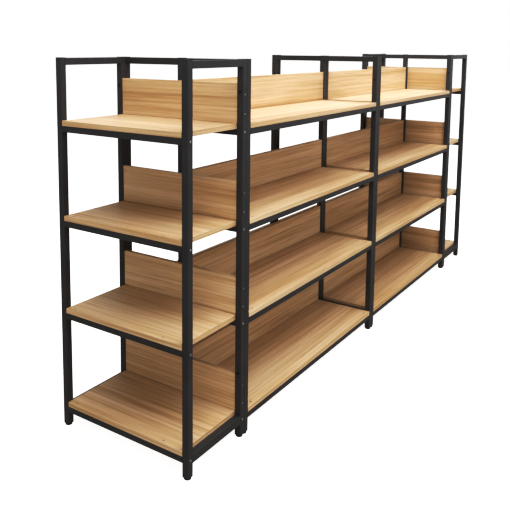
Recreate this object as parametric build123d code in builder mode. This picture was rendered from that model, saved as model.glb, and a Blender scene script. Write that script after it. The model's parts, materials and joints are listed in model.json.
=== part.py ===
"""Double-sided gondola shelving run: two bays of shelves with an end cap at each end.

Frame of the model: +X along the run, +Y to the rear side, +Z up. The origin is on the floor
at the centre of the run. All sizes are in millimetres.
"""

import os

from build123d import *

os.makedirs("parts", exist_ok=True)

# ---------------------------------------------------------------- driving dimensions

HEIGHT = 1350  # floor to the top of the post caps
DEPTH = 583  # across the run, outer face to outer face
BAY_LENGTH = 1150  # one bay, outer face to outer face of its cross frames
END_LENGTH = 325  # one end cap, outer face to outer face

TUBE = 25  # square frame tube
WALL = 1.5
TUBE_RADIUS = 2  # outer corner of every tube
BEAM_HEIGHT = 22  # shelf beam, 25 deep and 22 high
BOTTOM_BAR_HEIGHT = 30  # bars across the bottom of the end ladders and cross frames
BOTTOM_BAR_DROP = 3.5  # from the lowest beams' underside down to the bars' underside

BOARD = 18  # shelf and back panel thickness
BOARD_ROUNDING = 0.8  # edge band corner
BOARD_PLAY = 0.5  # gap between a board and the posts beside it
PANEL_HEIGHT = 137  # low back panel that stands on each shelf
PANEL_GAP = 1  # between the shelf and its back panel

BEAM_LEVELS = (54, 411.5, 751.5, 1090.5)  # underside of the beams, bottom shelf first

CAP_TOP = 1.5  # flange of a post cap
CAP_PLUG = 12
INSERT_FLANGE = 2  # flange of a threaded foot insert
INSERT_PLUG = 20

FOOT_GAP = 0.2  # between the foot's collar and the insert when screwed right in
FOOT_COLLAR_TOP = 6.4
FOOT_RADIUS = 12.3
FOOT_RIM = 2  # height of the foot's straight rim, with the dome above it
FOOT_DOME_TOP = 5
FOOT_COLLAR_RADIUS = 10.5  # to the corners of its hexagon
FOOT_STEM_RADIUS = 4
FOOT_STEM_LENGTH = 34
FOOT_BORE_RADIUS = 4.06

BOLT_RADIUS = 2.5  # M5
BOLT_CLEARANCE = 2.75
BOLT_HEAD_RADIUS = 4.75
BOLT_HEAD = 2.7
NUT_RADIUS = 4.6  # to the corners
NUT_HEIGHT = 4
BOLT_SOCKET_RADIUS = 1.75  # to the corners of the hexagon socket
BOLT_SOCKET = 1.5
BEAM_PLUG = 12  # threaded plug welded in each end of an end cap's beam

PANEL_SCREW_RADIUS = 2
PANEL_SCREW_HEAD_RADIUS = 3.6
PANEL_SCREW_HEAD = 1.9
PANEL_SCREW_GRIP = 30  # into the panel
PANEL_SCREW_HEIGHTS = (33, 99)  # above the shelf

SHELF_SCREW_RADIUS = 2
SHELF_SCREW_HEAD_RADIUS = 3.6
SHELF_SCREW_HEAD = 2.4
SHELF_SCREW_LENGTH = 22
SHELF_SCREW_EDGE = 14  # from the front edge of the board
BAY_SCREW_END = 40  # from the end of a bay's board
END_SCREW_NEAR = 90  # from one side of an end cap's board
END_SCREW_FAR = 33  # from its other side

SPIGOT_PLAY = 0.3  # between a spigot and the beam that slips over it
SPIGOT_LENGTH = 32
SPIGOT_SCREW_END = 16  # from the post face to the screw under the beam
SPIGOT_SCREW_RADIUS = 2.5
SPIGOT_SCREW_HEAD_RADIUS = 4.5
SPIGOT_SCREW_HEAD = 2.2
SPIGOT_SCREW_LENGTH = 7

RECESS_REACH = 1.7  # half the width of a screw's cross recess
RECESS_SLOT = 0.8
RECESS_DEPTH = 1

JOIN_HEIGHTS = (240, 1240)  # bolts that hold neighbouring frames together

# ---------------------------------------------------------------- derived places

HALF_LENGTH = BAY_LENGTH + END_LENGTH
POST_BOTTOM = FOOT_COLLAR_TOP + FOOT_GAP + INSERT_FLANGE
POST_TOP = HEIGHT - CAP_TOP
INNER = TUBE - 2 * WALL  # inside width of the square tube
SIDE_Y = DEPTH / 2 - TUBE / 2  # centre line of the outer posts
CLEAR_Y = DEPTH - 2 * TUBE  # between the front and rear posts
BAY_CLEAR = BAY_LENGTH - 2 * TUBE  # between a bay's cross frames

END_SIDES = {"left": -1, "right": 1}
FACES = {"front": -1, "rear": 1}
BAYS = {"left_bay": -BAY_LENGTH / 2, "right_bay": BAY_LENGTH / 2}


def shelf_top(level):
    return level + BEAM_HEIGHT + BOARD


def end_x(side, distance):
    """X of a point measured inwards from the outer face of an end cap."""
    return side * (HALF_LENGTH - distance)


END_POSTS = (TUBE / 2, END_LENGTH - TUBE / 2)  # inwards from the end cap's outer face
BOTTOM_BAR_Z = BEAM_LEVELS[0] - BOTTOM_BAR_DROP + BOTTOM_BAR_HEIGHT / 2  # centre line
BOLT_Z = [level + BEAM_HEIGHT / 2 - 1 for level in BEAM_LEVELS]
PANEL_SCREW_Z = [shelf_top(level) + rise for level in BEAM_LEVELS for rise in PANEL_SCREW_HEIGHTS]

# ---------------------------------------------------------------- building blocks

AXIS_PLANES = {
    "x": ((0, 1, 0), (1, 0, 0)),
    "y": ((1, 0, 0), (0, 1, 0)),
    "z": ((1, 0, 0), (0, 0, 1)),
}


def plane_along(axis, origin, flip=1):
    """Plane at origin whose normal runs along the axis, or against it with flip -1."""
    x_dir, z_dir = AXIS_PLANES[axis]
    normal = tuple(flip * part for part in z_dir)
    return Plane(origin=origin, x_dir=x_dir, z_dir=normal)


def tube(axis, start, length, width=TUBE, height=TUBE, wall=WALL, radius=TUBE_RADIUS):
    """Hollow tube from the centre of its start face. Height is across Z, or across Y if upright."""
    with BuildPart() as piece:
        with BuildSketch(plane_along(axis, start)):
            RectangleRounded(width, height, radius)
            RectangleRounded(width - 2 * wall, height - 2 * wall, radius - wall, mode=Mode.SUBTRACT)
        extrude(amount=length)
    return piece.part


def drilled(body, axis, centres, radius, length=TUBE):
    """The body with a round hole along the axis, centred on each of the centres."""
    with BuildPart() as piece:
        add(body)
        for centre in centres:
            with BuildSketch(plane_along(axis, centre)):
                Circle(radius)
            extrude(amount=length / 2, both=True, mode=Mode.SUBTRACT)
    return piece.part


def countersunk(body, axis, mouths, flip, radius, head_radius, head):
    """The body with a countersink at each mouth, opening along the axis (or against it)."""
    with BuildPart() as piece:
        add(body)
        for mouth in mouths:
            with BuildSketch(plane_along(axis, mouth, flip)):
                Circle(head_radius)
            with BuildSketch(plane_along(axis, mouth, flip).offset(-head)):
                Circle(radius)
            loft(mode=Mode.SUBTRACT)
    return piece.part


def turned(points):
    """Solid of revolution about +Z from (radius, height) corners on and off the axis."""
    with BuildPart() as piece:
        with BuildSketch(Plane.XZ):
            with BuildLine():
                Polyline(*points, close=True)
            make_face()
        revolve(axis=Axis.Z)
    return piece.part


def hex_socket(bolt):
    """The bolt with a hexagon socket in its head."""
    with BuildPart() as piece:
        add(bolt)
        with BuildSketch(Plane.XY.offset(BOLT_HEAD)):
            RegularPolygon(BOLT_SOCKET_RADIUS, 6)
        extrude(amount=-BOLT_SOCKET, mode=Mode.SUBTRACT)
    return piece.part


def cross_recess(screw, head_top):
    """The screw with a cross recess in the top of its head."""
    with BuildPart() as piece:
        add(screw)
        with BuildSketch(Plane.XY.offset(head_top)):
            Rectangle(2 * RECESS_REACH, RECESS_SLOT)
            Rectangle(RECESS_SLOT, 2 * RECESS_REACH)
        extrude(amount=-RECESS_DEPTH, mode=Mode.SUBTRACT)
    return piece.part


def copies(shape, planes):
    """One copy of a shape, drawn on the XY plane, standing on each plane."""
    return [shape.moved(plane.location) for plane in planes]


def group(name, solids):
    """Write separate solids as one node."""
    node = Compound(label=name, children=list(solids))
    export_step(node, f"parts/{name}.step")
    return node


# ---------------------------------------------------------------- welded frames


def upright(x, y):
    return tube("z", (x, y, POST_BOTTOM), POST_TOP - POST_BOTTOM)


def end_post(side, face, distance):
    """Outer post of an end cap, drilled for its beam bolts and panel screws."""
    x, y = end_x(side, distance), face * SIDE_Y
    post = drilled(upright(x, y), "y", [(x, y, z) for z in BOLT_Z], BOLT_CLEARANCE)
    if distance == END_POSTS[1]:
        post = drilled(post, "y", [(x, y, z) for z in PANEL_SCREW_Z], PANEL_SCREW_RADIUS)
        post = drilled(post, "x", [(x, y, z) for z in JOIN_HEIGHTS], BOLT_RADIUS)
    return post


def end_frame(side_name, face_name):
    """Welded ladder at one side of an end cap: two posts, a top bar and a bottom bar."""
    side, face = END_SIDES[side_name], FACES[face_name]
    y = face * SIDE_Y
    start = min(end_x(side, TUBE), end_x(side, END_LENGTH - TUBE))
    span = END_LENGTH - 2 * TUBE
    top = tube("x", (start, y, POST_TOP - TUBE / 2), span)
    bottom = tube("x", (start, y, BOTTOM_BAR_Z), span, height=BOTTOM_BAR_HEIGHT)
    posts = [end_post(side, face, distance) for distance in END_POSTS]
    group(f"{side_name}_end_{face_name}_frame", posts + [top, bottom])


def bay_post(x, y, inward):
    """Post of a cross frame. Inward is the way along X to the bay that the frame carries."""
    post = upright(x, y)
    if y == 0:
        post = drilled(post, "x", [(x, y, z) for z in PANEL_SCREW_Z], PANEL_SCREW_RADIUS)
        mouths = [(x - inward * TUBE / 2, y, z) for z in PANEL_SCREW_Z]
        return countersunk(
            post, "x", mouths, -inward, PANEL_SCREW_RADIUS, PANEL_SCREW_HEAD_RADIUS, PANEL_SCREW_HEAD
        )
    return drilled(post, "x", [(x, y, z) for z in JOIN_HEIGHTS], BOLT_RADIUS)


def spigot(x, y, level, inward):
    """Stub welded to a post face, that a bay's beam slips over."""
    play = 2 * (WALL + SPIGOT_PLAY)
    face_x = x + inward * TUBE / 2
    start = (min(face_x, face_x + inward * SPIGOT_LENGTH), y, level + BEAM_HEIGHT / 2)
    stub = tube("x", start, SPIGOT_LENGTH, TUBE - play, BEAM_HEIGHT - play, radius=TUBE_RADIUS - 0.3)
    hole = (face_x + inward * SPIGOT_SCREW_END, y, level + WALL + SPIGOT_PLAY)
    return drilled(stub, "z", [hole], SPIGOT_SCREW_RADIUS, 4 * WALL)


def cross_frame(name, x, inward):
    """Welded cross frame of a bay: three posts, top bars, bottom bars and beam spigots."""
    post_rows = (-SIDE_Y, 0, SIDE_Y)
    solids = [bay_post(x, y, inward) for y in post_rows]
    for start_y in (-SIDE_Y + TUBE / 2, TUBE / 2):
        span = SIDE_Y - TUBE
        solids.append(tube("y", (x, start_y, POST_TOP - TUBE / 2), span))
        solids.append(tube("y", (x, start_y, BOTTOM_BAR_Z), span, height=BOTTOM_BAR_HEIGHT))
    solids += [spigot(x, y, level, inward) for y in post_rows for level in BEAM_LEVELS]
    group(name, solids)


for side_name in END_SIDES:
    for face_name in FACES:
        end_frame(side_name, face_name)

for bay, centre in BAYS.items():
    reach = BAY_LENGTH / 2 - TUBE / 2
    cross_frame(f"{bay}_left_frame", centre - reach, 1)
    cross_frame(f"{bay}_right_frame", centre + reach, -1)

# ---------------------------------------------------------------- places of the shelf screws


def end_shelf_screws(side, level):
    """Screw mouths on an end cap's board. Both end caps are one product, turned half round."""
    across = ((side, END_SCREW_NEAR), (-side, END_SCREW_FAR))
    alongs = (SHELF_SCREW_EDGE, END_LENGTH - SHELF_SCREW_EDGE)
    return [
        (end_x(side, along), way * (CLEAR_Y / 2 - inset), shelf_top(level))
        for along in alongs
        for way, inset in across
    ]


def bay_shelf_screws(centre, face, level):
    """Screw mouths on one side's board of a bay, over the outer beam."""
    reach = BAY_CLEAR / 2 - BAY_SCREW_END
    y = face * (DEPTH / 2 - SHELF_SCREW_EDGE)
    return [(centre + way * reach, y, shelf_top(level)) for way in (-1, 1)]


# ---------------------------------------------------------------- shelf beams


def with_pilot_holes(beam, mouths):
    """The beam with a pilot hole in its top wall under each shelf screw."""
    tops = [(x, y, z - BOARD) for x, y, z in mouths]
    return drilled(beam, "z", tops, SHELF_SCREW_RADIUS, 4 * WALL)


def end_beam(side, distance, level):
    """Beam across an end cap, closed at both ends by a plug with a threaded hole."""
    x = end_x(side, distance)
    centre_z = level + BEAM_HEIGHT / 2
    with BuildPart() as beam:
        with BuildSketch(plane_along("y", (x, -CLEAR_Y / 2, centre_z))):
            RectangleRounded(TUBE, BEAM_HEIGHT, TUBE_RADIUS)
        extrude(amount=CLEAR_Y)
        with BuildSketch(plane_along("y", (x, -CLEAR_Y / 2 + BEAM_PLUG, centre_z))):
            RectangleRounded(INNER, BEAM_HEIGHT - 2 * WALL, TUBE_RADIUS - WALL)
        extrude(amount=CLEAR_Y - 2 * BEAM_PLUG, mode=Mode.SUBTRACT)
        with BuildSketch(plane_along("y", (x, -CLEAR_Y / 2, BOLT_Z[BEAM_LEVELS.index(level)]))):
            Circle(BOLT_RADIUS)
        extrude(amount=CLEAR_Y, mode=Mode.SUBTRACT)
    mouths = [mouth for mouth in end_shelf_screws(side, level) if abs(mouth[0] - x) < TUBE / 2]
    return with_pilot_holes(beam.part, mouths)


def bay_beam(centre, y, level):
    """Beam along a bay, open at both ends and drilled underneath for its two screws."""
    beam = tube("x", (centre - BAY_CLEAR / 2, y, level + BEAM_HEIGHT / 2), BAY_CLEAR, height=BEAM_HEIGHT)
    reach = BAY_CLEAR / 2 - SPIGOT_SCREW_END
    holes = [(centre + way * reach, y, level) for way in (-1, 1)]
    beam = drilled(beam, "z", holes, SPIGOT_SCREW_RADIUS, 4 * WALL)
    if y == 0:
        return beam
    return with_pilot_holes(beam, bay_shelf_screws(centre, y / SIDE_Y, level))


for side_name, side in END_SIDES.items():
    beams = [end_beam(side, distance, level) for level in BEAM_LEVELS for distance in END_POSTS]
    group(f"{side_name}_end_beams", beams)

for bay, centre in BAYS.items():
    rows = (-SIDE_Y, 0, SIDE_Y)
    group(f"{bay}_beams", [bay_beam(centre, y, level) for level in BEAM_LEVELS for y in rows])

# ---------------------------------------------------------------- shelf boards


def board(centre, size_x, size_y, screw_mouths):
    """Edge-banded board standing on its centre point, with countersunk screw holes."""
    with BuildPart() as piece:
        with BuildSketch(Plane(origin=centre)):
            Rectangle(size_x, size_y)
        extrude(amount=BOARD)
        fillet(piece.edges(), BOARD_ROUNDING)
    bored = drilled(piece.part, "z", screw_mouths, SHELF_SCREW_RADIUS, 3 * BOARD)
    return countersunk(
        bored, "z", screw_mouths, 1, SHELF_SCREW_RADIUS, SHELF_SCREW_HEAD_RADIUS, SHELF_SCREW_HEAD
    )


shelf_screw_mouths = []
for number, level in enumerate(BEAM_LEVELS, start=1):
    board_z = level + BEAM_HEIGHT
    for side_name, side in END_SIDES.items():
        mouths = end_shelf_screws(side, level)
        centre_point = (end_x(side, END_LENGTH / 2), 0, board_z)
        shelf = board(centre_point, END_LENGTH, CLEAR_Y - 2 * BOARD_PLAY, mouths)
        group(f"{side_name}_end_shelf_{number}", [shelf])
        shelf_screw_mouths += mouths
    for bay, centre in BAYS.items():
        shelves = []
        for face in FACES.values():
            mouths = bay_shelf_screws(centre, face, level)
            shelf_depth = DEPTH / 2 - BOARD_PLAY / 2
            centre_point = (centre, face * (DEPTH / 2 - shelf_depth / 2), board_z)
            shelves.append(board(centre_point, BAY_CLEAR - 2 * BOARD_PLAY, shelf_depth, mouths))
            shelf_screw_mouths += mouths
        group(f"{bay}_shelf_{number}", shelves)

# ---------------------------------------------------------------- back panels


def panel(centre, size_x, size_y, screw_axis):
    """Low back panel standing on its centre point, with pilot holes in both ends."""
    x, y, z = centre
    span = max(size_x, size_y)
    with BuildPart() as piece:
        with BuildSketch(Plane(origin=centre)):
            Rectangle(size_x, size_y)
        extrude(amount=PANEL_HEIGHT)
        fillet(piece.edges(), BOARD_ROUNDING)
        for rise in PANEL_SCREW_HEIGHTS:
            for end in (-1, 1):
                reach = end * (span / 2 - PANEL_SCREW_GRIP)
                start = (x + reach, y, z) if screw_axis == "x" else (x, y + reach, z)
                mouth_plane = plane_along(screw_axis, start, end)
                mouth_plane.origin += Vector(0, 0, rise - PANEL_GAP)
                with BuildSketch(mouth_plane):
                    Circle(PANEL_SCREW_RADIUS)
                extrude(amount=PANEL_SCREW_GRIP, mode=Mode.SUBTRACT)
    return piece.part


panel_bottoms = [shelf_top(level) + PANEL_GAP for level in BEAM_LEVELS]

for side_name, side in END_SIDES.items():
    x = end_x(side, END_POSTS[1])
    panels = [panel((x, 0, z), BOARD, CLEAR_Y - 2 * BOARD_PLAY, "y") for z in panel_bottoms]
    group(f"{side_name}_end_back_panels", panels)

for bay, centre in BAYS.items():
    panels = [panel((centre, 0, z), BAY_CLEAR - 2 * BOARD_PLAY, BOARD, "x") for z in panel_bottoms]
    group(f"{bay}_back_panels", panels)

# ---------------------------------------------------------------- posts: caps, inserts and feet

post_places = [
    (end_x(side, distance), face * SIDE_Y)
    for side in END_SIDES.values()
    for distance in END_POSTS
    for face in FACES.values()
]
for centre in BAYS.values():
    for way in (-1, 1):
        x = centre + way * (BAY_LENGTH / 2 - TUBE / 2)
        post_places += [(x, y) for y in (-SIDE_Y, 0, SIDE_Y)]
post_places.sort()

with BuildPart() as post_cap:
    with BuildSketch(Plane.XY.offset(POST_TOP)):
        RectangleRounded(TUBE, TUBE, TUBE_RADIUS)
    extrude(amount=CAP_TOP)
    fillet(post_cap.faces().sort_by(Axis.Z)[-1].edges(), 0.7)
    with BuildSketch(Plane.XY.offset(POST_TOP)):
        RectangleRounded(INNER, INNER, TUBE_RADIUS - WALL)
    extrude(amount=-CAP_PLUG)

group("post_caps", copies(post_cap.part, [Plane((x, y, 0)) for x, y in post_places]))

with BuildPart() as foot_insert:
    with BuildSketch(Plane.XY.offset(POST_BOTTOM)):
        RectangleRounded(TUBE, TUBE, TUBE_RADIUS)
    extrude(amount=-INSERT_FLANGE)
    with BuildSketch(Plane.XY.offset(POST_BOTTOM)):
        RectangleRounded(INNER, INNER, TUBE_RADIUS - WALL)
    extrude(amount=INSERT_PLUG)
    with BuildSketch(Plane.XY):
        Circle(FOOT_BORE_RADIUS)
    extrude(amount=POST_BOTTOM + INSERT_PLUG, mode=Mode.SUBTRACT)

group("foot_inserts", copies(foot_insert.part, [Plane((x, y, 0)) for x, y in post_places]))

with BuildPart() as foot:
    with BuildSketch(Plane.XZ):
        with BuildLine():
            Line((0, 0), (FOOT_RADIUS - 0.6, 0))
            Line((FOOT_RADIUS - 0.6, 0), (FOOT_RADIUS, 0.6))
            Line((FOOT_RADIUS, 0.6), (FOOT_RADIUS, FOOT_RIM))
            ThreePointArc(
                (FOOT_RADIUS, FOOT_RIM),
                (FOOT_RADIUS - 0.6, FOOT_RIM + 1.9),
                (FOOT_COLLAR_RADIUS, FOOT_DOME_TOP),
            )
            Line((FOOT_COLLAR_RADIUS, FOOT_DOME_TOP), (0, FOOT_DOME_TOP))
            Line((0, FOOT_DOME_TOP), (0, 0))
        make_face()
    revolve(axis=Axis.Z)
    with BuildSketch(Plane.XY.offset(FOOT_DOME_TOP)):
        RegularPolygon(FOOT_COLLAR_RADIUS, 6)
    extrude(amount=FOOT_COLLAR_TOP - FOOT_DOME_TOP)
    with BuildSketch(Plane.XY.offset(FOOT_COLLAR_TOP)):
        Circle(FOOT_STEM_RADIUS)
    extrude(amount=FOOT_STEM_LENGTH)
    chamfer(foot.faces().sort_by(Axis.Z)[-1].edges(), 0.8)

for number, (x, y) in enumerate(post_places, start=1):
    group(f"foot_{number:02d}", copies(foot.part, [Plane((x, y, 0))]))

# ---------------------------------------------------------------- fasteners

# Each fastener is drawn with its seat on the XY plane, its head above and its shank below.

beam_bolt = turned(
    [
        (0, BOLT_HEAD),
        (BOLT_HEAD_RADIUS - 1.8, BOLT_HEAD),
        (BOLT_HEAD_RADIUS - 0.5, BOLT_HEAD - 1.1),
        (BOLT_HEAD_RADIUS, 0.8),
        (BOLT_HEAD_RADIUS, 0),
        (BOLT_RADIUS, 0),
        (BOLT_RADIUS, -TUBE - BEAM_PLUG + 1),
        (0, -TUBE - BEAM_PLUG + 1),
    ]
)

beam_bolt_seats = [
    plane_along("y", (end_x(side, distance), face * DEPTH / 2, z), face)
    for side in END_SIDES.values()
    for distance in END_POSTS
    for face in FACES.values()
    for z in BOLT_Z
]
group("beam_bolts", copies(hex_socket(beam_bolt), beam_bolt_seats))

pan_screw = turned(
    [
        (0, PANEL_SCREW_HEAD),
        (PANEL_SCREW_HEAD_RADIUS - 1.2, PANEL_SCREW_HEAD),
        (PANEL_SCREW_HEAD_RADIUS, PANEL_SCREW_HEAD - 1.2),
        (PANEL_SCREW_HEAD_RADIUS, 0),
        (PANEL_SCREW_RADIUS, 0),
        (PANEL_SCREW_RADIUS, 2 - TUBE - PANEL_SCREW_GRIP),
        (0, -TUBE - PANEL_SCREW_GRIP),
    ]
)

end_panel_seats = [
    plane_along("y", (end_x(side, END_POSTS[1]), face * DEPTH / 2, z), face)
    for side in END_SIDES.values()
    for face in FACES.values()
    for z in PANEL_SCREW_Z
]
flush_panel_screw = turned(
    [
        (0, 0),
        (PANEL_SCREW_HEAD_RADIUS, 0),
        (PANEL_SCREW_RADIUS, -PANEL_SCREW_HEAD),
        (PANEL_SCREW_RADIUS, 2 - TUBE - PANEL_SCREW_GRIP),
        (0, -TUBE - PANEL_SCREW_GRIP),
    ]
)

bay_panel_seats = [
    plane_along("x", (centre + way * BAY_LENGTH / 2, 0, z), way)
    for centre in BAYS.values()
    for way in (-1, 1)
    for z in PANEL_SCREW_Z
]
end_panel_screws = copies(cross_recess(pan_screw, PANEL_SCREW_HEAD), end_panel_seats)
bay_panel_screws = copies(cross_recess(flush_panel_screw, 0), bay_panel_seats)
group("panel_screws", end_panel_screws + bay_panel_screws)

shelf_screw = turned(
    [
        (0, 0),
        (SHELF_SCREW_HEAD_RADIUS, 0),
        (SHELF_SCREW_RADIUS, -SHELF_SCREW_HEAD),
        (SHELF_SCREW_RADIUS, 1 - SHELF_SCREW_LENGTH),
        (0, -SHELF_SCREW_LENGTH),
    ]
)
shelf_screw_seats = [Plane(mouth) for mouth in shelf_screw_mouths]
group("shelf_screws", copies(cross_recess(shelf_screw, 0), shelf_screw_seats))

spigot_screw = turned(
    [
        (0, SPIGOT_SCREW_HEAD),
        (SPIGOT_SCREW_HEAD_RADIUS - 1.2, SPIGOT_SCREW_HEAD),
        (SPIGOT_SCREW_HEAD_RADIUS, SPIGOT_SCREW_HEAD - 1.2),
        (SPIGOT_SCREW_HEAD_RADIUS, 0),
        (SPIGOT_SCREW_RADIUS, 0),
        (SPIGOT_SCREW_RADIUS, -SPIGOT_SCREW_LENGTH),
        (0, -SPIGOT_SCREW_LENGTH),
    ]
)
spigot_seats = [
    plane_along("z", (centre + way * (BAY_CLEAR / 2 - SPIGOT_SCREW_END), y, level), -1)
    for centre in BAYS.values()
    for way in (-1, 1)
    for y in (-SIDE_Y, 0, SIDE_Y)
    for level in BEAM_LEVELS
]
group("beam_screws", copies(cross_recess(spigot_screw, SPIGOT_SCREW_HEAD), spigot_seats))

join_grip = 2 * TUBE
joining_bolt = turned(
    [
        (0, BOLT_HEAD),
        (BOLT_HEAD_RADIUS - 1, BOLT_HEAD),
        (BOLT_HEAD_RADIUS, BOLT_HEAD - 1),
        (BOLT_HEAD_RADIUS, 0),
        (BOLT_RADIUS, 0),
        (BOLT_RADIUS, -join_grip - 7),
        (0, -join_grip - 7),
    ]
)
join_xs = [end_x(-1, END_LENGTH - TUBE), -TUBE, end_x(1, END_LENGTH + TUBE)]
join_places = [(x, face * SIDE_Y, z) for x in join_xs for face in FACES.values() for z in JOIN_HEIGHTS]
join_seats = [plane_along("x", place, -1) for place in join_places]
group("joining_bolts", copies(hex_socket(joining_bolt), join_seats))

with BuildPart() as joining_nut:
    with BuildSketch(Plane.XY):
        RegularPolygon(NUT_RADIUS, 6)
        Circle(BOLT_RADIUS, mode=Mode.SUBTRACT)
    extrude(amount=-NUT_HEIGHT)

nut_places = [(x + join_grip, y, z) for x, y, z in join_places]
group("joining_nuts", copies(joining_nut.part, [plane_along("x", place, -1) for place in nut_places]))
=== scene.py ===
"""Looks of the double-sided gondola shelving run: materials, weld beads, light and camera.

Everything is in metres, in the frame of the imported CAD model: +X along the run, +Y to the rear
side, +Z up, with the origin on the floor under the centre of the run.
"""

import json
import math

import bmesh
import bpy
from mathutils import Matrix, Vector


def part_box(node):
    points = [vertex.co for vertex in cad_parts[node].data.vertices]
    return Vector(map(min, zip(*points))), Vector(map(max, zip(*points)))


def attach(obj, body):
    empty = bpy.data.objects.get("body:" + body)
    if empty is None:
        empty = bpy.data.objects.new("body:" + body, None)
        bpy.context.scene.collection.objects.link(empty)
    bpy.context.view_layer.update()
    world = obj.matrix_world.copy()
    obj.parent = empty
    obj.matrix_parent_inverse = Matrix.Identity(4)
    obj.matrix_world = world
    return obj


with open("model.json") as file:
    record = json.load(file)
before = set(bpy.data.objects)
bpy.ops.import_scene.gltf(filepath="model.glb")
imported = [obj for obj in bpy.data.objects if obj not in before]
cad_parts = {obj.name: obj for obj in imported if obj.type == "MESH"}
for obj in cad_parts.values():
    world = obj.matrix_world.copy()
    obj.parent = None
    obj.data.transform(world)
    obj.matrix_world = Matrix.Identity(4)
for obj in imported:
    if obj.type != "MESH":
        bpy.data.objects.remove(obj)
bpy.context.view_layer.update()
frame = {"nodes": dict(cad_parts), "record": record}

BODY = "shelving"
NODES = frame["nodes"]

# ---------------------------------------------------------------- node helpers

FACING = 0.7  # a face looks along an axis when this much of its normal does


def new_material(name):
    """An empty material with a Principled shader wired to its output."""
    material = bpy.data.materials.new(name)
    material.use_nodes = True
    tree = material.node_tree
    tree.nodes.clear()
    shader = tree.nodes.new("ShaderNodeBsdfPrincipled")
    output = tree.nodes.new("ShaderNodeOutputMaterial")
    tree.links.new(shader.outputs["BSDF"], output.inputs["Surface"])
    return material, tree, shader


def object_coordinates(tree, scale, offset=(0, 0, 0)):
    """Coordinates in metres, stretched by scale and moved by offset."""
    coordinates = tree.nodes.new("ShaderNodeTexCoord")
    mapping = tree.nodes.new("ShaderNodeMapping")
    mapping.inputs["Scale"].default_value = scale
    mapping.inputs["Location"].default_value = offset
    tree.links.new(coordinates.outputs["Object"], mapping.inputs["Vector"])
    return mapping.outputs["Vector"]


def normal_along(tree, axis):
    """1 on faces that look along the object's own axis (0, 1 or 2), either way, 0 on the others."""
    coordinates = tree.nodes.new("ShaderNodeTexCoord")
    parts = tree.nodes.new("ShaderNodeSeparateXYZ")
    size = tree.nodes.new("ShaderNodeMath")
    size.operation = "ABSOLUTE"
    mask = tree.nodes.new("ShaderNodeMath")
    mask.operation = "GREATER_THAN"
    mask.inputs[1].default_value = FACING
    tree.links.new(coordinates.outputs["Normal"], parts.inputs["Vector"])
    tree.links.new(parts.outputs[axis], size.inputs[0])
    tree.links.new(size.outputs["Value"], mask.inputs[0])
    return mask.outputs["Value"]


def choose_vector(tree, mask, first, second):
    """The first vector where the mask is 0 and the second where it is 1."""
    node = tree.nodes.new("ShaderNodeMix")
    node.data_type = "VECTOR"
    sockets = {socket.identifier: socket for socket in node.inputs}
    tree.links.new(mask, sockets["Factor_Float"])
    tree.links.new(first, sockets["A_Vector"])
    tree.links.new(second, sockets["B_Vector"])
    return next(socket for socket in node.outputs if socket.identifier == "Result_Vector")


def noise(tree, vector, scale, detail, roughness=0.5, distortion=0.0):
    """A noise texture's value at vector."""
    texture = tree.nodes.new("ShaderNodeTexNoise")
    texture.inputs["Scale"].default_value = scale
    texture.inputs["Detail"].default_value = detail
    texture.inputs["Roughness"].default_value = roughness
    texture.inputs["Distortion"].default_value = distortion
    tree.links.new(vector, texture.inputs["Vector"])
    return texture.outputs["Fac"]


def ramp(tree, value, stops):
    """Colour for a value from (position, colour) stops."""
    node = tree.nodes.new("ShaderNodeValToRGB")
    elements = node.color_ramp.elements
    while len(elements) < len(stops):
        elements.new(0.5)
    for element, (position, colour) in zip(elements, stops):
        element.position = position
        element.color = (*colour, 1.0)
    tree.links.new(value, node.inputs["Fac"])
    return node.outputs["Color"]


def grey(level):
    """A neutral colour."""
    return (level, level, level)


def spread(tree, value, low, high, to_low, to_high):
    """The value, carried from the range low..high to the range to_low..to_high and clamped."""
    node = tree.nodes.new("ShaderNodeMapRange")
    limits = {"From Min": low, "From Max": high, "To Min": to_low, "To Max": to_high}
    for name, number in limits.items():
        node.inputs[name].default_value = number
    tree.links.new(value, node.inputs["Value"])
    return node.outputs["Result"]


def blend(tree, mode, amount, first, second):
    """Two colours mixed in a blend mode, by an amount from 0 to 1."""
    node = tree.nodes.new("ShaderNodeMix")
    node.data_type = "RGBA"
    node.blend_type = mode
    node.inputs["Factor"].default_value = amount
    tree.links.new(first, node.inputs["A"])
    tree.links.new(second, node.inputs["B"])
    return node.outputs["Result"]


def bump(tree, shader, height, distance, strength):
    """Fine relief on the shader's normal. Distance is in metres."""
    node = tree.nodes.new("ShaderNodeBump")
    node.inputs["Distance"].default_value = distance
    node.inputs["Strength"].default_value = strength
    tree.links.new(height, node.inputs["Height"])
    tree.links.new(node.outputs["Normal"], shader.inputs["Normal"])


# ---------------------------------------------------------------- materials

WOOD_DARK = (0.35, 0.202, 0.090)
WOOD_BROWN = (0.50, 0.330, 0.172)
WOOD_MID = (0.59, 0.400, 0.225)
WOOD_LIGHT = (0.68, 0.490, 0.300)
WOOD_PALE = (0.75, 0.565, 0.370)

# Layers of the grain: stretch along it, then the noise's scale, detail, roughness and distortion.
WOOD_TONE = (0.10, 7, 2, 0.5, 0.3)
WOOD_BANDS = (0.03, 24, 3, 0.55, 0.25)
WOOD_STREAKS = (0.016, 105, 4, 0.62, 0.15)
WOOD_PORES = (0.018, 620, 3, 0.6, 0.0)

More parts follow.
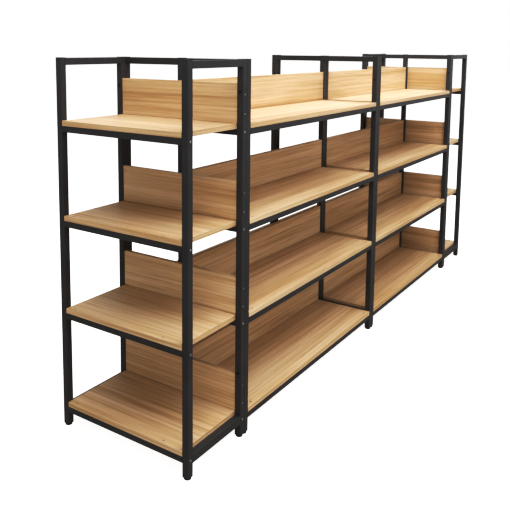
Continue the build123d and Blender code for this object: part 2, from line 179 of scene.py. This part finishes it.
TONE_STOPS = (
    (0.35, (0.88, 0.83, 0.75)),
    (0.50, (0.97, 0.95, 0.93)),
    (0.64, (1.06, 1.07, 1.08)),
)
BAND_STOPS = (
    (0.30, WOOD_BROWN),
    (0.42, WOOD_MID),
    (0.52, WOOD_LIGHT),
    (0.60, WOOD_PALE),
    (0.74, WOOD_MID),
)
STREAK_STOPS = ((0.36, WOOD_DARK), (0.48, WOOD_MID), (0.62, WOOD_PALE))
PORE_STOPS = ((0.30, grey(0.82)), (0.55, grey(1.0)), (0.75, grey(1.05)))
STREAK_SHARE = 0.42  # of the streaks in the colour, against the bands
TONE_STRENGTH = 0.9
PORE_STRENGTH = 0.8
BOARD_STEP = (3.17, 5.71, 2.39)  # from one board's stretch of grain to the next board's


def grain_vector(tree, grain, stretch, offset):
    """Coordinates stretched along the grain, or along the edge on the board's two end faces."""
    along = (stretch, 1.0, 1.0) if grain == "x" else (1.0, stretch, 1.0)
    across = (1.0, stretch, 1.0) if grain == "x" else (stretch, 1.0, 1.0)
    end_face = normal_along(tree, 0 if grain == "x" else 1)
    return choose_vector(
        tree,
        end_face,
        object_coordinates(tree, along, offset),
        object_coordinates(tree, across, offset),
    )


def grain_noise(tree, grain, offset, layer):
    """One layer of the grain."""
    stretch, *texture = layer
    return noise(tree, grain_vector(tree, grain, stretch, offset), *texture)


def wood_material(name, grain, number):
    """Light tan laminate with straight streaks along the grain, different on every board."""
    material, tree, shader = new_material(name)
    offset = tuple(number * step for step in BOARD_STEP)
    tone, bands, streaks, pores = (
        grain_noise(tree, grain, offset, layer)
        for layer in (WOOD_TONE, WOOD_BANDS, WOOD_STREAKS, WOOD_PORES)
    )
    band_colour = ramp(tree, bands, BAND_STOPS)
    streak_colour = ramp(tree, streaks, STREAK_STOPS)
    colour = blend(tree, "MIX", STREAK_SHARE, band_colour, streak_colour)
    colour = blend(tree, "MULTIPLY", TONE_STRENGTH, colour, ramp(tree, tone, TONE_STOPS))
    colour = blend(tree, "MULTIPLY", PORE_STRENGTH, colour, ramp(tree, pores, PORE_STOPS))
    tree.links.new(colour, shader.inputs["Base Color"])

    roughness = spread(tree, streaks, low=0.3, high=0.7, to_low=0.52, to_high=0.40)
    tree.links.new(roughness, shader.inputs["Roughness"])
    shader.inputs["Specular IOR Level"].default_value = 0.35
    bump(tree, shader, pores, distance=0.00012, strength=0.6)
    return material


def powder_coat_material():
    """Satin black powder coat with a fine orange peel and a little handling wear."""
    material, tree, shader = new_material("black_powder_coat")
    place = object_coordinates(tree, (1, 1, 1))
    cloud = noise(tree, place, scale=9, detail=3)
    peel = noise(tree, place, scale=900, detail=2, roughness=0.5)
    scuff = noise(tree, place, scale=55, detail=5, roughness=0.7, distortion=0.4)
    colour = ramp(tree, cloud, ((0.3, (0.039, 0.038, 0.039)), (0.7, (0.049, 0.048, 0.049))))
    worn = ramp(tree, scuff, ((0.66, grey(0.0)), (0.80, grey(0.012))))
    tree.links.new(blend(tree, "ADD", 1.0, colour, worn), shader.inputs["Base Color"])
    roughness = spread(tree, scuff, low=0.3, high=0.75, to_low=0.38, to_high=0.52)
    tree.links.new(roughness, shader.inputs["Roughness"])
    shader.inputs["Specular IOR Level"].default_value = 0.26
    bump(tree, shader, peel, distance=0.00008, strength=0.5)
    return material


def weld_material():
    """Weld bead under the same powder coat, a little glossier on its ripples."""
    material, tree, shader = new_material("black_weld")
    place = object_coordinates(tree, (1, 1, 1))
    grain = noise(tree, place, scale=1400, detail=3, roughness=0.6)
    colour = ramp(tree, grain, ((0.3, (0.039, 0.038, 0.039)), (0.7, (0.051, 0.050, 0.051))))
    tree.links.new(colour, shader.inputs["Base Color"])
    roughness = spread(tree, grain, low=0.3, high=0.7, to_low=0.34, to_high=0.46)
    tree.links.new(roughness, shader.inputs["Roughness"])
    shader.inputs["Specular IOR Level"].default_value = 0.3
    bump(tree, shader, grain, distance=0.0001, strength=0.6)
    return material


def plastic_material():
    """Moulded black plastic with a fine spark-eroded grain."""
    material, tree, shader = new_material("black_plastic")
    place = object_coordinates(tree, (1, 1, 1))
    grain = noise(tree, place, scale=1800, detail=2, roughness=0.5)
    dust = noise(tree, place, scale=60, detail=4, roughness=0.6)
    colour = ramp(tree, dust, ((0.35, (0.011, 0.011, 0.012)), (0.75, (0.022, 0.022, 0.022))))
    tree.links.new(colour, shader.inputs["Base Color"])
    roughness = spread(tree, dust, low=0.3, high=0.7, to_low=0.42, to_high=0.58)
    tree.links.new(roughness, shader.inputs["Roughness"])
    shader.inputs["Specular IOR Level"].default_value = 0.35
    bump(tree, shader, grain, distance=0.0001, strength=0.5)
    return material


def metal_material(name, dark, light, rough_low, rough_high):
    """Plated steel with a faint mottle."""
    material, tree, shader = new_material(name)
    place = object_coordinates(tree, (1, 1, 1))
    mottle = noise(tree, place, scale=420, detail=4, roughness=0.6)
    roughness = spread(tree, mottle, low=0.3, high=0.7, to_low=rough_low, to_high=rough_high)
    tree.links.new(ramp(tree, mottle, ((0.3, dark), (0.7, light))), shader.inputs["Base Color"])
    tree.links.new(roughness, shader.inputs["Roughness"])
    shader.inputs["Metallic"].default_value = 1.0
    bump(tree, shader, mottle, distance=0.00005, strength=0.4)
    return material


def floor_material():
    """Matte white floor that glows a little, so that it stays pale out to the horizon."""
    material, tree, shader = new_material("studio_floor")
    place = object_coordinates(tree, (1, 1, 1))
    cloud = noise(tree, place, scale=1.3, detail=2)
    colour = ramp(tree, cloud, ((0.3, grey(0.49)), (0.7, grey(0.51))))
    tree.links.new(colour, shader.inputs["Base Color"])
    shader.inputs["Roughness"].default_value = 0.9
    shader.inputs["Specular IOR Level"].default_value = 0.0
    shader.inputs["Emission Color"].default_value = (1.0, 1.0, 1.0, 1.0)
    shader.inputs["Emission Strength"].default_value = FLOOR_GLOW
    return material


# ---------------------------------------------------------------- materials onto the CAD nodes


def paint(node, material):
    """Put one material on a CAD node."""
    slots = NODES[node].material_slots
    if not slots:
        NODES[node].data.materials.append(material)
    for slot in slots:
        slot.material = material


def paint_wood():
    """Every board gets its own stretch of grain, which runs along its length."""
    wooden = [
        entry["node"]
        for entry in frame["record"]["subparts"]
        if entry["material_slot"] == "wood_laminate"
    ]
    for number, node in enumerate(sorted(wooden), start=1):
        low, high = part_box(node)
        grain = "x" if high[0] - low[0] > high[1] - low[1] else "y"
        paint(node, wood_material(f"wood_{node}", grain, number))


def paint_all():
    """Every CAD node gets the material of its slot."""
    finishes = {
        "black_powder_coat": powder_coat_material(),
        "black_plastic": plastic_material(),
        "zinc_plate": metal_material("zinc_plate", grey(0.21), grey(0.30), 0.40, 0.55),
        "black_zinc": metal_material("black_zinc", grey(0.02), grey(0.04), 0.35, 0.5),
    }
    for entry in frame["record"]["subparts"]:
        if entry["material_slot"] in finishes:
            paint(entry["node"], finishes[entry["material_slot"]])
    paint_wood()


# ---------------------------------------------------------------- weld beads

TUBE = 0.025  # side of the square frame tube
BOTTOM_BAR = 0.030  # height of the bars at the bottom of the frames
BOTTOM_BAR_DROP = 0.0035  # from the lowest beams' underside down to the bars' underside
BEAD_RADIUS = 0.0022
BEAD_PITCH = 0.0024  # length of one ripple
BEAD_STEPS = 4  # rings in one ripple
BEAD_SIDES = 8
BEAD_INSET = 0.0025  # from the tube's corner to the end of the bead
BEAD_RIPPLE = 0.18  # share of the radius that comes and goes with each ripple
BEAD_TIP = 0.35  # share of the radius at the bead's ends
BEAD_SWELL = 6  # how fast the ends swell to the full radius


def add_bead(mesh, start, end, into, across):
    """A rippled fillet bead from start to end, in the corner between directions into and across."""
    run = end - start
    length = run.length
    rings = []
    count = max(2, int(length / BEAD_PITCH * BEAD_STEPS))
    for index in range(count + 1):
        share = index / count
        wave = abs(math.sin(math.pi * share * length / BEAD_PITCH))
        ripple = 1 - BEAD_RIPPLE + BEAD_RIPPLE * wave
        taper = min(1.0, BEAD_TIP + BEAD_SWELL * min(share, 1 - share))
        radius = BEAD_RADIUS * ripple * taper
        centre = start + run * share
        ring = [mesh.verts.new(centre)]
        for side in range(BEAD_SIDES + 1):
            angle = math.pi / 2 * side / BEAD_SIDES
            outwards = into * math.cos(angle) + across * math.sin(angle)
            ring.append(mesh.verts.new(centre + radius * outwards))
        rings.append(ring)
    for first, second in zip(rings, rings[1:]):
        for index in range(len(first)):
            after = (index + 1) % len(first)
            mesh.faces.new((first[index], first[after], second[after], second[index]))
    mesh.faces.new(rings[0][::-1])
    mesh.faces.new(rings[-1])


def bead_piece(name, beads, material):
    """One mesh piece with a frame's weld beads, riding on the shelving."""
    mesh = bmesh.new()
    for start, end, into, across in beads:
        add_bead(mesh, Vector(start), Vector(end), Vector(into), Vector(across))
    bmesh.ops.recalc_face_normals(mesh, faces=mesh.faces)
    data = bpy.data.meshes.new(name)
    mesh.to_mesh(data)
    mesh.free()
    for polygon in data.polygons:
        polygon.use_smooth = True
    data.materials.append(material)
    piece = bpy.data.objects.new(name, data)
    bpy.context.scene.collection.objects.link(piece)
    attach(piece, BODY)


def bar_edges():
    """Height and side (-1 under, 1 over) of the welded edges, for the top bar and the bottom bar."""
    top_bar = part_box("left_bay_left_frame")[1][2] - TUBE
    bottom_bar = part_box("left_end_beams")[0][2] - BOTTOM_BAR_DROP
    return (
        ((top_bar, -1),),
        ((bottom_bar, -1), (bottom_bar + BOTTOM_BAR, 1)),
    )


def post_faces(node):
    """One frame's bar axis, the bars' centre line and the (post face, way into the bar) pairs."""
    low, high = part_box(node)
    if "_end_" in node:
        faces = ((low[0] + TUBE, 1), (high[0] - TUBE, -1))
        return "x", (low[1] + high[1]) / 2, faces
    middle = (low[1] + high[1]) / 2
    near, far = middle - TUBE / 2, middle + TUBE / 2
    faces = ((low[1] + TUBE, 1), (near, -1), (far, 1), (high[1] - TUBE, -1))
    return "y", cross_frame_x(node), faces


def cross_frame_x(node):
    """Centre line of a cross frame's posts. Its spigots stick out on one side only."""
    low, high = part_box(node)
    return low[0] + TUBE / 2 if "_left_frame" in node else high[0] - TUBE / 2


def edge_bead(axis, centre, face, way, height, side):
    """Start, end and the two directions of one bead, where a bar's edge meets a post's face."""
    reach = TUBE / 2 - BEAD_INSET
    if axis == "x":
        start, end = (face, centre - reach, height), (face, centre + reach, height)
        into = (way, 0, 0)
    else:
        start, end = (centre - reach, face, height), (centre + reach, face, height)
        into = (0, way, 0)
    return start, end, into, (0, 0, side)


def weld_frames(material):
    """Weld beads on all eight welded frames."""
    frames = [node for node in sorted(NODES) if node.endswith("_frame")]
    for node in frames:
        axis, centre, faces = post_faces(node)
        beads = [
            edge_bead(axis, centre, face, way, height, side)
            for edges in bar_edges()
            for face, way in faces
            for height, side in edges
        ]
        bead_piece(f"{node}_welds", beads, material)


# ---------------------------------------------------------------- floor, light and camera

CAMERA_PLACE = (-3.0732, -1.5489, 1.3895)
CAMERA_HEADING = 34.612  # degrees from +X towards +Y
CAMERA_TILT = -6.824  # degrees, down
CAMERA_ROLL = 0.371  # degrees
CAMERA_LENS = 47.84  # mm
CAMERA_SENSOR = 36  # mm
CAMERA_RANGE = 100  # nothing farther away is drawn
CAMERA_SHIFT = (0.0490, -0.2489)

TONE_CURVE = ((0.1, 0.06), (0.2, 0.16), (0.35, 0.37), (0.5, 0.56), (0.7, 0.76))  # linear light
FLOOR_REACH = 30  # from the centre to each side
FLOOR_GLOW = 0.88
LIGHTS = (  # name, place, target, width and height, watts, colour
    ("key", (-1.15, -2.1, 5.0), (0.0, -0.2, 0.6), (6.5, 3.4), 322, (0.98, 0.99, 1.05)),
    ("overhead", (0.6, 0.0, 3.4), (1.3, 0.0, 1.2), (2.0, 1.2), 62, (0.90, 1.0, 1.12)),
    ("fill", (-4.0, -3.0, 2.4), (-0.2, 0.0, 0.7), (2.4, 1.6), 16, (0.95, 1.0, 1.08)),
)
GROUND_LIGHT = (0.37, 0.33, 0.28)  # bounced up, warm
SKY_LIGHT = (0.31, 0.300, 0.280)
WORLD_STOPS = (  # height on the sphere around the scene, colour
    (-1.0, GROUND_LIGHT),
    (-0.10, GROUND_LIGHT),
    (-0.06, (1.0, 1.0, 1.0)),
    (0.18, (1.0, 1.0, 1.0)),
    (0.26, SKY_LIGHT),
    (1.0, SKY_LIGHT),
)


def build_floor():
    """A large pale floor that the unit stands on. It throws no light back onto the unit."""
    mesh = bpy.data.meshes.new("studio_floor")
    reach = FLOOR_REACH
    corners = [(-reach, -reach, 0), (reach, -reach, 0), (reach, reach, 0), (-reach, reach, 0)]
    mesh.from_pydata(corners, [], [(0, 1, 2, 3)])
    floor = bpy.data.objects.new("studio_floor", mesh)
    floor.data.materials.append(floor_material())
    bpy.context.scene.collection.objects.link(floor)
    floor.visible_diffuse = False
    floor.visible_glossy = False


def area_light(name, place, target, size, power, colour):
    """A soft rectangular light at place that faces target."""
    data = bpy.data.lights.new(name, "AREA")
    data.shape = "RECTANGLE"
    data.size, data.size_y = size
    data.energy = power
    data.color = colour
    light = bpy.data.objects.new(name, data)
    light.location = place
    light.rotation_euler = (Vector(target) - Vector(place)).to_track_quat("-Z", "Y").to_euler()
    bpy.context.scene.collection.objects.link(light)


def build_world():
    """Soft surroundings: white at the horizon, dimmer overhead and below."""
    world = bpy.data.worlds.new("studio")
    world.use_nodes = True
    tree = world.node_tree
    coordinates = tree.nodes.new("ShaderNodeTexCoord")
    parts = tree.nodes.new("ShaderNodeSeparateXYZ")
    tree.links.new(coordinates.outputs["Generated"], parts.inputs["Vector"])
    rise = spread(tree, parts.outputs["Z"], low=-1.0, high=1.0, to_low=0.0, to_high=1.0)
    stops = [((1 + height) / 2, colour) for height, colour in WORLD_STOPS]
    background = tree.nodes["Background"]
    tree.links.new(ramp(tree, rise, stops), background.inputs["Color"])
    background.inputs["Strength"].default_value = 1.0
    bpy.context.scene.world = world


def build_light():
    """A large soft light above and in front, a small one over the right bay and a weak fill."""
    build_world()
    for light in LIGHTS:
        area_light(*light)


def set_view():
    """The contrast of a camera: deeper middle tones and soft highlights."""
    view = bpy.context.scene.view_settings
    view.view_transform = "Standard"
    view.use_curve_mapping = True
    curve = view.curve_mapping.curves[3]
    for level, shown in TONE_CURVE:
        curve.points.new(level, shown)
    view.curve_mapping.update()


def build_camera():
    """The camera stands where the photograph was taken from."""
    heading, tilt = math.radians(CAMERA_HEADING), math.radians(CAMERA_TILT)
    forward = Vector(
        (math.cos(heading) * math.cos(tilt), math.sin(heading) * math.cos(tilt), math.sin(tilt))
    )
    right = Vector((math.sin(heading), -math.cos(heading), 0))
    up = right.cross(forward)
    turn = Matrix.Rotation(math.radians(-CAMERA_ROLL), 3, forward)
    right, up = turn @ right, turn @ up
    axes = Matrix((right, up, -forward)).transposed()
    data = bpy.data.cameras.new("camera")
    data.sensor_width = CAMERA_SENSOR
    data.lens = CAMERA_LENS
    data.shift_x, data.shift_y = CAMERA_SHIFT
    data.clip_end = CAMERA_RANGE
    camera = bpy.data.objects.new("camera", data)
    camera.matrix_world = Matrix.Translation(CAMERA_PLACE) @ axes.to_4x4()
    bpy.context.scene.collection.objects.link(camera)
    bpy.context.scene.camera = camera


set_view()
paint_all()
weld_frames(weld_material())
build_floor()
build_light()
build_camera()
